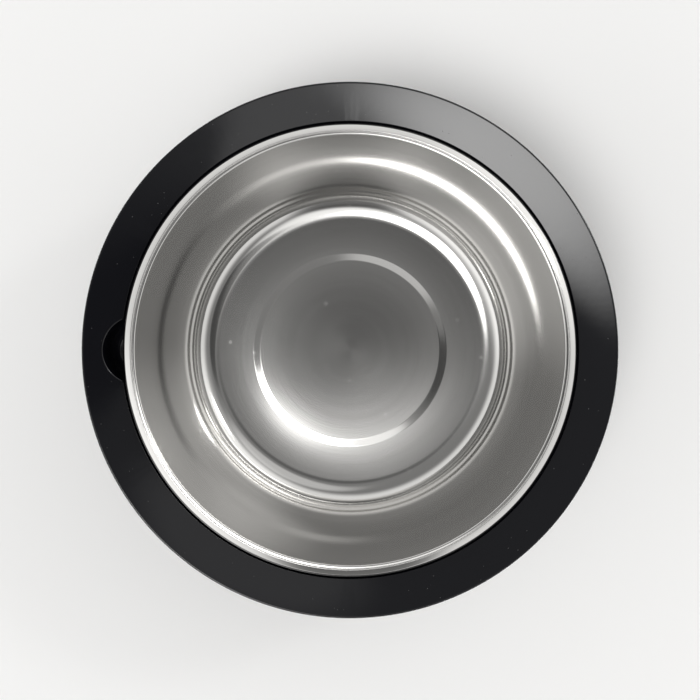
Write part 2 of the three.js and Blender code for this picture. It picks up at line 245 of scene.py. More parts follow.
class Socket:
    """A node's output that takes part in sums, which adds the Math nodes for them."""

    def __init__(self, tree, output):
        self.tree = tree
        self.output = output

    def maths(self, operation, *values):
        inputs = dict(enumerate(values))
        return self.tree.node("ShaderNodeMath", {"operation": operation}, inputs)

    def __add__(self, other):
        return self.maths("ADD", self, other)

    def __radd__(self, other):
        return self.maths("ADD", other, self)

    def __sub__(self, other):
        return self.maths("SUBTRACT", self, other)

    def __rsub__(self, other):
        return self.maths("SUBTRACT", other, self)

    def __mul__(self, other):
        return self.maths("MULTIPLY", self, other)

    def __rmul__(self, other):
        return self.maths("MULTIPLY", other, self)

    def __truediv__(self, other):
        return self.maths("DIVIDE", self, other)

    def __rtruediv__(self, other):
        return self.maths("DIVIDE", other, self)

    def root(self):
        return self.maths("SQRT", self)

    def at_least(self, low):
        return self.maths("MAXIMUM", self, low)

    def above(self, low, high):
        """0 below low, 1 above high, and smooth between them."""
        ramp = {"interpolation_type": "SMOOTHSTEP", "clamp": True}
        inputs = {"Value": self, "From Min": low, "From Max": high}
        return self.tree.node("ShaderNodeMapRange", ramp, inputs)


class Nodes:
    """A node tree that is filled by one method."""

    def __init__(self, tree):
        self.tree = tree
        self.tree.nodes.clear()

    def node(self, kind, settings=None, inputs=None, output=0):
        """A node from its type, its settings and the values or links of its inputs."""
        made = self.tree.nodes.new(kind)
        for name, value in (settings or {}).items():
            setattr(made, name, value)
        for name, value in (inputs or {}).items():
            if isinstance(value, Socket):
                self.tree.links.new(value.output, made.inputs[name])
            else:
                made.inputs[name].default_value = value
        return Socket(self, made.outputs[output]) if len(made.outputs) else made

    def outputs(self, kind):
        """Every output of a node that needs no inputs, by name."""
        made = self.tree.nodes.new(kind)
        return {output.name: Socket(self, output) for output in made.outputs}


class Finish(Nodes):
    """A material on object coordinates."""

    def __init__(self, name):
        self.material = bpy.data.materials.new(name)
        self.material.use_nodes = True
        super().__init__(self.material.node_tree)
        self.place = self.node("ShaderNodeTexCoord", output="Object")
        split = self.node("ShaderNodeSeparateXYZ", inputs={"Vector": self.place})
        axes = split.output.node.outputs
        self.x, self.y, self.z = (Socket(self, axes[name]) for name in "XYZ")
        self.radius = (self.x * self.x + self.y * self.y).root()

    def noise(self, scale, detail=2.0, roughness=0.5, place=None):
        """Noise from 0 to 1, with scale in features for each metre."""
        inputs = {"Vector": place or self.place, "Scale": scale, "Detail": detail, "Roughness": roughness}
        return self.node("ShaderNodeTexNoise", {}, inputs)

    def ring_noise(self, along, lines, waves, detail=2.0, roughness=0.5):
        """Noise in lines round the axis: lines for each metre along, and waves in each of them."""
        x = self.x / self.radius.at_least(AXIS_ROOM) * waves
        y = self.y / self.radius.at_least(AXIS_ROOM) * waves
        place = self.node("ShaderNodeCombineXYZ", inputs={"X": x, "Y": y, "Z": along * lines})
        return self.noise(1.0, detail, roughness, place)

    def mixed(self, mask, first, second):
        """From the first colour to the second as the mask goes from 0 to 1."""
        # The Mix node's sockets for colours are numbers 6 and 7
        inputs = {0: mask, 6: (*first, 1), 7: (*second, 1)}
        return self.node("ShaderNodeMix", {"data_type": "RGBA"}, inputs, output=2)

    def speckles(self, scale, size, share):
        """1 in scattered round specks, from a share of the cells of a grid of that scale."""
        cells = {"Vector": self.place, "Scale": scale}
        distance = self.node("ShaderNodeTexVoronoi", {}, cells, output="Distance")
        lot = self.node("ShaderNodeTexVoronoi", {}, cells, output="Color")
        draw = self.node("ShaderNodeSeparateColor", inputs={"Color": lot})
        speck = 1 - distance.above(SPECK_CORE_SHARE * size, size)
        return speck * draw.above(1 - share, 1 - share + SPECK_LOT_FADE)

    def bumped(self, height, depth):
        """A normal from a height of 0 to 1 that stands for a depth in metres."""
        inputs = {"Height": height, "Distance": depth, "Strength": 1.0}
        return self.node("ShaderNodeBump", {}, inputs)

    def finished(self, **inputs):
        """The material, with a surface of these inputs; a double underscore stands for a space."""
        named = {name.replace("__", " "): value for name, value in inputs.items()}
        surface = self.node("ShaderNodeBsdfPrincipled", {}, named)
        self.node("ShaderNodeOutputMaterial", {}, {"Surface": surface})
        return self.material


def gloss_black_plastic(disc_height):
    """Polished black moulding, with a satin disc in the well and fine dust and rubbing."""
    finish = Finish("gloss_black_plastic")
    low = 1 - finish.z.above(disc_height + SATIN_LIFT, disc_height + 2 * SATIN_LIFT)
    within = 1 - finish.radius.above(SATIN_RADIUS - SATIN_FADE, SATIN_RADIUS + SATIN_FADE)
    satin = within * low
    handling = finish.noise(scale=26, detail=4.0, roughness=0.6).above(0.45, 0.75)
    dust = finish.speckles(scale=700, size=0.16, share=0.05)
    scratches = finish.ring_noise(finish.radius, lines=5200, waves=9, detail=3.0, roughness=0.7)
    rubbing = scratches.above(0.63, 0.72) * finish.noise(scale=60).above(0.45, 0.7)
    peel = finish.noise(scale=330, detail=1.5, roughness=0.4)
    grain = finish.noise(scale=5200, roughness=0.6) * satin
    height = peel * 0.16 + grain * 0.55 + rubbing * 0.05
    return finish.finished(
        Base__Color=finish.mixed(dust * 0.7 + satin * 0.1, MOULDED_BLACK, DUST_GREY),
        Roughness=0.075 + 0.045 * handling + 0.10 * rubbing + 0.21 * satin + 0.4 * dust,
        IOR=1.52,
        Normal=finish.bumped(height, PEEL_DEPTH),
    )


def stainless_steel():
    """Polished sheet with the fine circular lines that spinning leaves."""
    finish = Finish("stainless_steel")
    along = finish.radius + finish.z
    fine = finish.ring_noise(along, lines=1700, waves=0.7, roughness=0.6)
    broad = finish.ring_noise(along, lines=260, waves=0.5)
    cloud = finish.noise(scale=22, detail=3.0, roughness=0.55)
    spots = finish.speckles(scale=160, size=0.22, share=0.06)
    return finish.finished(
        Base__Color=finish.mixed(0.6 * broad + 0.4 * cloud, STEEL_DEEP, STEEL_PALE),
        Metallic=1.0,
        Roughness=0.07 + 0.03 * fine + 0.02 * broad + 0.03 * cloud + 0.05 * spots,
        Anisotropic=0.5,
        Normal=finish.bumped(fine * 0.5 + broad * 0.5, SPIN_LINE_DEPTH),
    )


def matte_black_plastic():
    """Spark-textured moulding."""
    finish = Finish("matte_black_plastic")
    spark = finish.noise(scale=1500, detail=3.0, roughness=0.65)
    cloud = finish.noise(scale=18, detail=3.0)
    scuffs = finish.speckles(scale=300, size=0.2, share=0.04)
    return finish.finished(
        Base__Color=finish.mixed(0.6 * cloud + 0.4 * spark, COVER_BLACK, COVER_GREY),
        Roughness=0.5 + 0.12 * spark + 0.06 * cloud - 0.1 * scuffs,
        Normal=finish.bumped(spark, SPARK_DEPTH),
    )


def black_rubber():
    """Soft rubber, a little greyed by the floor."""
    finish = Finish("black_rubber")
    pores = finish.noise(scale=2600, roughness=0.6)
    bloom = finish.noise(scale=90, detail=4.0, roughness=0.6).above(0.35, 0.75)
    return finish.finished(
        Base__Color=finish.mixed(bloom, RUBBER_BLACK, RUBBER_GREY),
        Roughness=0.72 + 0.16 * bloom,
        Normal=finish.bumped(pores, PORE_DEPTH),
    )


def ballast_iron():
    """Raw casting under thin dark primer, with rust in its pits."""
    finish = Finish("ballast_iron")
    sand = finish.noise(scale=620, detail=5.0, roughness=0.65)
    lumps = finish.noise(scale=70, detail=3.0)
    damp = finish.noise(scale=48, detail=5.0, roughness=0.7)
    rust = damp.above(0.55, 0.72) * sand.above(0.42, 0.62)
    return finish.finished(
        Base__Color=finish.mixed(rust, PRIMER_GREY, RUST_BROWN),
        Metallic=0.55 - 0.5 * rust,
        Roughness=0.55 + 0.3 * rust + 0.1 * lumps,
        Normal=finish.bumped(sand * 0.7 + lumps * 0.3, SAND_DEPTH),
    )


def screw_steel():
    """Bright zinc plating, dulled in patches."""
    finish = Finish("screw_steel")
    dull = finish.noise(scale=420, detail=4.0, roughness=0.6).above(0.4, 0.7)
    grain = finish.noise(scale=3800)
    return finish.finished(
        Base__Color=finish.mixed(dull, ZINC_BRIGHT, ZINC_DULL),
        Metallic=1.0,
        Roughness=0.26 + 0.18 * dull,
        Normal=finish.bumped(grain, PLATING_DEPTH),
    )


def studio_floor():
    """Plain pale floor."""
    finish = Finish("studio_floor")
    return finish.finished(Base__Color=(*FLOOR_WHITE, 1), Roughness=0.75)


def corner(radius, height, rounding=0.0):
    """A point of a section: distance from the axis, height, and rounding there."""
    return Vector((radius, height)), rounding


def arc(centre, radius, from_angle, to_angle):
    """Points from angle to angle on a circle of a section."""
    steps = max(2, math.ceil(abs(to_angle - from_angle) / ARC_STEP))
    turn = (to_angle - from_angle) / steps
    angles = [from_angle + turn * step for step in range(steps + 1)]
    return [centre + radius * Vector((math.cos(angle), math.sin(angle))) for angle in angles]


def direction(vector):
    """The angle of a vector of a section."""
    return math.atan2(vector.y, vector.x)


def rounded_corner(before, here, after, rounding):
    """The arc that rounds the corner between two neighbours of a section."""
    back = (before - here).normalized()
    ahead = (after - here).normalized()
    half_angle = back.angle(ahead) / 2
    centre = here + (back + ahead).normalized() * rounding / math.sin(half_angle)
    reach = rounding / math.tan(half_angle)
    start = direction(here + back * reach - centre)
    end = direction(here + ahead * reach - centre)
    if end - start > math.pi:
        end -= 2 * math.pi
    if end - start < -math.pi:
        end += 2 * math.pi
    return arc(centre, rounding, start, end)


def at(point, rounding=0.0):
    """A point of a section that is worked out already, and its rounding."""
    return point, rounding


def section(corners):
    """The points of a section whose corners may be rounded; a closed one counts round."""
    points = []
    for place, (here, rounding) in enumerate(corners):
        if rounding:
            before = corners[place - 1][0]
            after = corners[(place + 1) % len(corners)][0]
            points += rounded_corner(before, here, after, rounding)
        else:
            points.append(here)
    return points


def meet(point_a, along_a, point_b, along_b):
    """Where a line through one point meets a line through another."""
    return point_a + along_a * ((point_b - point_a).cross(along_b) / along_a.cross(along_b))


def at_height(point, along, height):
    """The point of a sloping line at a height."""
    return point + along * ((height - point.y) / along.y)


def node_group(name, inputs):
    """An empty Geometry Nodes tree with a geometry going in and out, and its input sockets."""
    group = bpy.data.node_groups.new(name, "GeometryNodeTree")
    group.interface.new_socket("Shape", in_out="INPUT", socket_type="NodeSocketGeometry")
    for label, kind in inputs.items():
        group.interface.new_socket(label, in_out="INPUT", socket_type=f"NodeSocket{kind}")
    group.interface.new_socket("Shape", in_out="OUTPUT", socket_type="NodeSocketGeometry")
    nodes = Nodes(group)
    return nodes, nodes.outputs("NodeGroupInput")


def end_tree(nodes, shape, finish):
    """Ends a tree with its copies made real and painted."""
    real = nodes.node("GeometryNodeRealizeInstances", inputs={"Geometry": shape})
    painted = nodes.node("GeometryNodeSetMaterial", inputs={"Geometry": real, "Material": finish})
    nodes.node("NodeGroupOutput", inputs={"Shape": painted})
    return nodes.tree


def turning_tree():
    """Carries a section round the Z axis and closes it there."""
    nodes, given = node_group("turned_piece", {"Sides": "Int", "Spindle": "Float", "Finish": "Material"})
    outline = nodes.node("GeometryNodeMeshToCurve", inputs={"Mesh": given["Shape"]})
    ring = {"Resolution": given["Sides"], "Radius": given["Spindle"]}
    circle = nodes.node("GeometryNodeCurvePrimitiveCircle", inputs=ring)
    level = nodes.node("GeometryNodeSetCurveNormal", {"mode": "Z_UP"}, {"Curve": circle})
    carried = nodes.node("GeometryNodeCurveToMesh", inputs={"Curve": level, "Profile Curve": outline})
    closed = nodes.node("GeometryNodeMergeByDistance", inputs={"Geometry": carried, "Distance": WELD})
    return end_tree(nodes, closed, given["Finish"])


def ring_tree():
    """Sets copies of a piece on a circle, each turned with its place and by a chance angle."""
    sizes = {"Count": "Int", "Circle": "Float", "First Angle": "Float", "Chance Turn": "Float"}
    nodes, given = node_group("ring_of_pieces", {**sizes, "Seed": "Int", "Finish": "Material"})
    step = 2 * math.pi / given["Count"]
    place = nodes.node("GeometryNodeInputIndex")
    around = given["First Angle"] + place * step
    # The Random Value node's limits for one number are its sockets 2 and 3
    span = {2: -1 * given["Chance Turn"], 3: given["Chance Turn"], "Seed": given["Seed"]}
    chance = nodes.node("FunctionNodeRandomValue", {"data_type": "FLOAT"}, span, output=1)
    points = nodes.node("GeometryNodeMeshLine", {}, {"Count": given["Count"]})
    across = around.maths("COSINE", around) * given["Circle"]
    along = around.maths("SINE", around) * given["Circle"]
    spot = nodes.node("ShaderNodeCombineXYZ", inputs={"X": across, "Y": along})
    placed = nodes.node("GeometryNodeSetPosition", inputs={"Geometry": points, "Position": spot})
    facing = nodes.node("ShaderNodeCombineXYZ", inputs={"Z": around + chance})
    turned_by = nodes.node("FunctionNodeEulerToRotation", inputs={"Euler": facing})
    copies = {"Points": placed, "Instance": given["Shape"], "Rotation": turned_by}
    instances = nodes.node("GeometryNodeInstanceOnPoints", inputs=copies)
    return end_tree(nodes, instances, given["Finish"])


def thread_tree():
    """Raises a helical thread on a plain shank by moving its points away from the axis."""
    sizes = {"Pitch": "Float", "Core": "Float", "Crest": "Float", "Low": "Float", "High": "Float"}
    nodes, given = node_group("screw_thread", {**sizes, "Finish": "Material"})
    spot = nodes.node("GeometryNodeInputPosition")
    split = nodes.node("ShaderNodeSeparateXYZ", inputs={"Vector": spot})
    axes = split.output.node.outputs
    x, y, z = (Socket(nodes, axes[name]) for name in "XYZ")
    radius = (x * x + y * y).root()
    winding = z / given["Pitch"] - x.maths("ARCTAN2", y, x) / (2 * math.pi)
    ridge = x.maths("PINGPONG", winding, 1 / 2) * 2
    root = SCREW_THREAD_ROOT_SHARE
    crest = (ridge.at_least(root) - root) / (1 - root)
    started = z.above(given["Low"], given["Low"] + given["Pitch"])
    ended = 1 - z.above(given["High"] - given["Pitch"], given["High"])
    on_shank = radius.maths("COMPARE", radius, given["Core"], SCREW_THREAD_REACH)
    rise = crest * started * ended * on_shank * (given["Crest"] - given["Core"]) / given["Core"]
    raised = nodes.node("ShaderNodeCombineXYZ", inputs={"X": x * (1 + rise), "Y": y * (1 + rise), "Z": z})
    placed = nodes.node("GeometryNodeSetPosition", inputs={"Geometry": given["Shape"], "Position": raised})
    return end_tree(nodes, placed, given["Finish"])


TURNING = turning_tree()
RING = ring_tree()
THREAD = thread_tree()


def shown(name, mesh):
    """A mesh as an object of the scene."""
    piece = bpy.data.objects.new(name, mesh)
    bpy.context.scene.collection.objects.link(piece)
    return piece


def plain(piece):
    """The piece with its modifiers worked into its mesh."""
    depsgraph = bpy.context.evaluated_depsgraph_get()
    mesh = bpy.data.meshes.new_from_object(piece.evaluated_get(depsgraph), depsgraph=depsgraph)
    piece.modifiers.clear()
    piece.data = mesh
    return piece


def worked(piece, tree, **inputs):
    """The piece after a Geometry Nodes tree; a double underscore stands for a space."""
    modifier = piece.modifiers.new(tree.name, "NODES")
    modifier.node_group = tree
    for item in tree.interface.items_tree:
        key = item.name.replace(" ", "__")
        if item.in_out == "INPUT" and key in inputs:
            modifier[item.identifier] = inputs[key]
    return plain(piece)


def turned(name, points, finish, sides=RING_SIDES, closed=False):
    """A section turned about the Z axis; a closed one is a ring's."""
    count = len(points)
    edges = [(place, place + 1) for place in range(count - 1)]
    if closed:
        edges.append((count - 1, 0))
    outline = bpy.data.meshes.new(name)
    # Carried round a level circle, the outline's x points outwards and its y points down
    outline.from_pydata([(point.x - SPINDLE, -point.y, 0) for point in points], edges, [])
    piece = shown(name, outline)
    return faced_out(worked(piece, TURNING, Sides=sides, Spindle=SPINDLE, Finish=finish))


def ring_of(piece, finish, circle, first_angle, chance_turn=0.0):
    """Copies of a piece, equally spaced on a circle."""
    places = {"Count": FASTENER_COUNT, "Circle": circle, "First__Angle": first_angle}
    chance = {"Chance__Turn": chance_turn, "Seed": SCREW_CHANCE_SEED}
    return worked(piece, RING, **places, **chance, Finish=finish)


def faced_out(piece):
    """The piece with its corners merged and its faces turned outwards."""
    shape = bmesh.new()
    shape.from_mesh(piece.data)
    bmesh.ops.remove_doubles(shape, verts=shape.verts, dist=WELD)
    bmesh.ops.recalc_face_normals(shape, faces=shape.faces)
    shape.to_mesh(piece.data)
    shape.free()
    return piece


def moved(piece, x, y=0.0, z=0.0):
    """The piece's mesh shifted."""
    for vertex in piece.data.vertices:
        vertex.co += Vector((x, y, z))
    return piece


def joined(piece, other, operation):
    """The piece after a union, difference or intersection with another, which it uses up."""
    modifier = piece.modifiers.new(operation, "BOOLEAN")
    modifier.operation = operation
    modifier.solver = "MANIFOLD"
    modifier.object = other
    plain(piece)
    bpy.data.objects.remove(other)
    return piece


def copied(piece):
    """A second object with a mesh of its own."""
    return shown(piece.name, piece.data.copy())


def smoothed(piece):
    """The piece cleaned and shaded smooth, with the edges sharper than the crease kept crisp."""
    shape = bmesh.new()
    shape.from_mesh(piece.data)
    bmesh.ops.remove_doubles(shape, verts=shape.verts, dist=WELD)
    bmesh.ops.dissolve_degenerate(shape, edges=shape.edges, dist=WELD)
    # The cuts leave faces of many corners, which are split before stray edges are dropped
    bmesh.ops.triangulate(shape, faces=[face for face in shape.faces if len(face.verts) > 4])
    loose = [edge for edge in shape.edges if not edge.link_faces]
    bmesh.ops.delete(shape, geom=loose, context="EDGES")
    for face in shape.faces:
        face.smooth = True
    for edge in shape.edges:
        edge.smooth = edge.is_manifold and edge.calc_face_angle(math.pi) < CREASE
    shape.to_mesh(piece.data)
    shape.free()
    return piece


# Heights and radii from the frame
bowl_low, bowl_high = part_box("steel_bowl")
cover_low, cover_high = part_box("bottom_cover")
shell_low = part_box("base_shell")[0]
seal_low, seal_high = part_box("cover_seal")
ballast_low, ballast_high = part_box("ballast_ring")
pad_low, pad_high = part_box("ballast_pad_1")
foot_low, foot_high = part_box("foot_1")
screw_low, screw_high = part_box("cover_screw_1")

rim_radius = bowl_high.x
bowl_underside = bowl_low.z
well_floor = bowl_underside - BOWL_FLOOR_CLEARANCE
well_underside = well_floor - SHELL_WALL
cover_underside = cover_low.z
cover_top = cover_underside + COVER_THICKNESS
cover_radius = cover_high.x
ledge_underside = seal_high.z + SEATING_GAP
ledge_top = ledge_underside + LEDGE_HEIGHT
skirt_bottom = shell_low.z
bead_centre = Vector((rim_radius - BOWL_BEAD_RADIUS, bowl_underside + BOWL_HEIGHT - BOWL_BEAD_RADIUS))

# Lines of wall, seat, brim and skirt in the section
level = Vector((1, 0))
upright = Vector((0, 1))
wall_up = Vector((math.sin(WALL_LEAN), math.cos(WALL_LEAN)))
wall_outward = Vector((math.cos(WALL_LEAN), -math.sin(WALL_LEAN)))
brim_outward = Vector((math.cos(BRIM_LEAN), math.sin(BRIM_LEAN)))
brim_down = Vector((math.sin(BRIM_LEAN), -math.cos(BRIM_LEAN)))
skirt_down = Vector((math.sin(SKIRT_LEAN), -math.cos(SKIRT_LEAN)))
bowl_wall_inside = bead_centre - wall_outward * BOWL_BEAD_RADIUS
bowl_wall_outside = bowl_wall_inside + wall_outward * BOWL_SHEET
well_wall_inside = bowl_wall_outside + wall_outward * BOWL_WALL_CLEARANCE
well_wall_outside = well_wall_inside + wall_outward * SHELL_WALL
seat_point = bead_centre + brim_down * (BOWL_BEAD_RADIUS + SEATING_GAP)
seat_under_point = seat_point + brim_down * SHELL_WALL
recess_radius = rim_radius + RIM_CLEARANCE
lip = meet(well_wall_inside, wall_up, seat_point, brim_outward)
recess_foot = meet(seat_point, brim_outward, Vector((recess_radius, 0)), upright)
recess_top = recess_foot + upright * RECESS_HEIGHT
recess_mouth = recess_top + brim_outward * (RECESS_DRAFT / brim_outward.x)
brim_edge = meet(recess_top, brim_outward, Vector((recess_radius + BRIM_WIDTH, 0)), upright)
skirt_foot = at_height(brim_edge, skirt_down, skirt_bottom)
skirt_inside = skirt_foot - level * SHELL_WALL / math.cos(SKIRT_LEAN)
ledge_radius = at_height(skirt_inside, skirt_down, ledge_underside).x - LEDGE_WIDTH

# Circles of the repeated pieces
post_circle = (screw_low.xy + screw_high.xy).length / 2
foot_circle = (foot_low.xy + foot_high.xy).length / 2
pad_circle = (pad_low.xy + pad_high.xy).length / 2
post_angle = math.pi / FASTENER_COUNT
cup_bore = SCREW_HEAD_RADIUS + HEAD_CLEARANCE
cup_radius = cup_bore + CUP_WALL
cup_ceiling = cover_underside + CUP_DEPTH
cup_top = cup_ceiling + CUP_FLOOR
pilot_radius = SCREW_SHANK_RADIUS + SEATING_GAP
scoop_centre = rim_radius - SCOOP_INSET
scoop_floor = lip.y - SCOOP_DEPTH


def surface_height(radius):
    """Height of the shell's upper surface at a distance from the axis, at the scoop."""
    if radius > recess_mouth.x:
        return recess_top.y + (radius - recess_radius) * math.tan(BRIM_LEAN)
    if radius > recess_radius:
        share = (radius - recess_radius) / RECESS_DRAFT
        return recess_foot.y + (recess_mouth.y - recess_foot.y) * share
    if radius > lip.x:
        return recess_foot.y - (recess_radius - radius) * math.tan(BRIM_LEAN)
    return lip.y


def scoop_cutter():
    """The finger scoop's pocket, its upper edge flared to leave a rounded edge on the brim."""
    top = brim_edge.y + OVERRUN
    narrowing = (lip.y - scoop_floor) * math.tan(SCOOP_LEAN)
    foot = corner(SCOOP_RADIUS - narrowing, scoop_floor, SCOOP_CORNER_RADIUS)
    # Its two ends are left out: the middle is one point, and the flare's height changes
    pocket = section([corner(0, scoop_floor), foot, corner(SCOOP_RADIUS, lip.y)])[1:-1]
    vertices = [(-scoop_centre, 0, scoop_floor)]
    for side in range(SCOOP_SIDES):
        angle = 2 * math.pi * side / SCOOP_SIDES
        across = -scoop_centre - SCOOP_RADIUS * math.cos(angle)
        along = SCOOP_RADIUS * math.sin(angle)
        edge = surface_height(math.hypot(across, along))
        wall = SCOOP_RADIUS + (edge - lip.y) * math.tan(SCOOP_LEAN)
        flare_centre = Vector((wall + SCOOP_EDGE_RADIUS, edge - SCOOP_EDGE_RADIUS))
        flare = arc(flare_centre, SCOOP_EDGE_RADIUS, math.pi, math.pi / 2)
        for point in pocket + flare + [Vector((wall + SCOOP_EDGE_RADIUS, top))]:
            x = -scoop_centre - point.x * math.cos(angle)
            vertices.append((x, point.x * math.sin(angle), point.y))
    rows = (len(vertices) - 1) // SCOOP_SIDES
    vertices.append((-scoop_centre, 0, top))
    faces = []
    for side in range(SCOOP_SIDES):
        here = 1 + side * rows
        there = 1 + (side + 1) % SCOOP_SIDES * rows
        faces.append((0, here, there))
        faces += [(here + row, here + row + 1, there + row + 1, there + row) for row in range(rows - 1)]
        faces.append((here + rows - 1, len(vertices) - 1, there + rows - 1))
    mesh = bpy.data.meshes.new("scoop_cutter")
    mesh.from_pydata(vertices, [], faces)
    return faced_out(shown("scoop_cutter", mesh))


def scoop_wall(finish):
    """The block that the scoop's pocket is cut from, under the brim."""
    outer = SCOOP_RADIUS + SHELL_WALL
    floor = scoop_floor - SHELL_WALL
    top = brim_edge.y + OVERRUN
    spread = (top - lip.y) * math.tan(SCOOP_LEAN)
    narrowing = (lip.y - floor) * math.tan(SCOOP_LEAN)
    points = section([
        corner(0, floor),
        corner(outer - narrowing, floor, SCOOP_CORNER_RADIUS + SHELL_WALL),
        corner(outer + spread, top),
        corner(0, top),
    ])
    return moved(turned("scoop_wall", points, finish, SCOOP_SIDES), -scoop_centre)


def shell_block(finish):
    """The base seen as one block, its underside closed."""
    groove_inner = SATIN_RADIUS
    groove_outer = SATIN_RADIUS + GROOVE_WIDTH
    groove_floor = well_floor - GROOVE_DEPTH
    groove_middle = (groove_inner + groove_outer) / 2
    points = section([
        corner(0, skirt_bottom),
        at(skirt_foot, SKIRT_FOOT_RADIUS),
        at(brim_edge, BRIM_EDGE_RADIUS),
        at(recess_mouth, RECESS_TOP_RADIUS),
        at(recess_foot, RECESS_FOOT_RADIUS),
        at(lip, LIP_RADIUS),
        corner(at_height(well_wall_inside, wall_up, well_floor).x, well_floor, WELL_CORNER_RADIUS),
        corner(groove_outer, well_floor, GROOVE_ROUNDING),
        corner(groove_middle, groove_floor, GROOVE_ROUNDING),
        corner(groove_inner, well_floor, GROOVE_ROUNDING),
        corner(0, well_floor),
    ])
    return turned("black_base_shell", points, finish)


def shell_hollow(finish):
    """The hollow under the shell: skirt, ledge, underside of brim and seat, and round the well."""
    under_seat = meet(well_wall_outside, wall_up, seat_under_point, brim_outward)
    step_radius = Vector((recess_radius + SHELL_WALL, 0))
    under_step = meet(seat_under_point, brim_outward, step_radius, upright)
    over_step = under_step + upright * RECESS_HEIGHT
    under_brim = meet(over_step, brim_outward, skirt_inside, skirt_down)
    inside_at_ledge = at_height(skirt_inside, skirt_down, ledge_underside)
    inside_above_ledge = at_height(skirt_inside, skirt_down, ledge_top)
    well_foot = at_height(well_wall_outside, wall_up, well_underside).x
    points = section([
        corner(0, skirt_bottom - OVERRUN),
        corner(skirt_inside.x, skirt_bottom - OVERRUN),
        corner(skirt_inside.x, skirt_bottom),
        corner(inside_at_ledge.x, ledge_underside),
        corner(ledge_radius, ledge_underside),
        corner(ledge_radius, ledge_top),
        corner(inside_above_ledge.x, ledge_top),
        at(under_brim, SHELL_WALL / 2),
        at(over_step),
        at(under_step),
        at(under_seat),
        corner(well_foot, well_underside, WELL_CORNER_RADIUS + SHELL_WALL),
        corner(0, well_underside),
    ])
    return turned("shell_hollow", points, finish)


def upright_bar(name, radius, low, high, finish):
    """A round bar on the axis."""
    points = [Vector((0, low)), Vector((radius, low)), Vector((radius, high)), Vector((0, high))]
    return turned(name, points, finish, SMALL_SIDES)


def rib_plate():
    """One rib across the hollow, from well wall to skirt, standing on its own axis at the post."""
    low = ballast_high.z + SEATING_GAP
    sink = SHELL_WALL / 2
    wall_low = at_height(well_wall_inside, wall_up, low)
    wall_high = meet(well_wall_inside, wall_up, seat_under_point, brim_outward)
    skirt_high = meet(seat_under_point, brim_outward, skirt_inside, skirt_down)
    skirt_low = at_height(skirt_inside, skirt_down, low)
    outline = [
        Vector((wall_low.x + sink, low)),
        Vector((skirt_low.x + sink, low)),
        Vector((skirt_high.x + sink, skirt_high.y + RECESS_HEIGHT + sink)),
        Vector((recess_radius + SHELL_WALL, recess_top.y - sink)),
        Vector((wall_high.x + sink, wall_high.y + sink)),
    ]
    count = len(outline)
    vertices = []
    for side in (-RIB_THICKNESS / 2, RIB_THICKNESS / 2):
        vertices += [(point.x - post_circle, side, point.y) for point in outline]
    faces = [tuple(range(count)), tuple(range(count, 2 * count))]
    for place in range(count):
        following = (place + 1) % count
        faces.append((place, following, count + following, count + place))
    mesh = bpy.data.meshes.new("rib")
    mesh.from_pydata(vertices, [], faces)
    return faced_out(shown("rib", mesh))


def base_shell(finish):
    """The glossy shell: brim, seat, scoop, well, skirt, ribs and screw posts."""
    block = shell_block(finish)
    whole = copied(block)
    post_low = cup_top + SEATING_GAP
    shell = joined(block, shell_hollow(finish), "DIFFERENCE")
    posts = upright_bar("post", POST_RADIUS, post_low, brim_edge.y, finish)
    posts = joined(posts, rib_plate(), "UNION")
    posts = ring_of(posts, finish, post_circle, post_angle)
    inner = joined(scoop_wall(finish), posts, "UNION")
    shell = joined(shell, joined(inner, whole, "INTERSECT"), "UNION")
    pilots = upright_bar("pilot", pilot_radius, post_low - OVERRUN, cup_ceiling + PILOT_DEPTH, finish)
    shell = joined(shell, ring_of(pilots, finish, post_circle, post_angle), "DIFFERENCE")
    return smoothed(joined(shell, scoop_cutter(), "DIFFERENCE"))


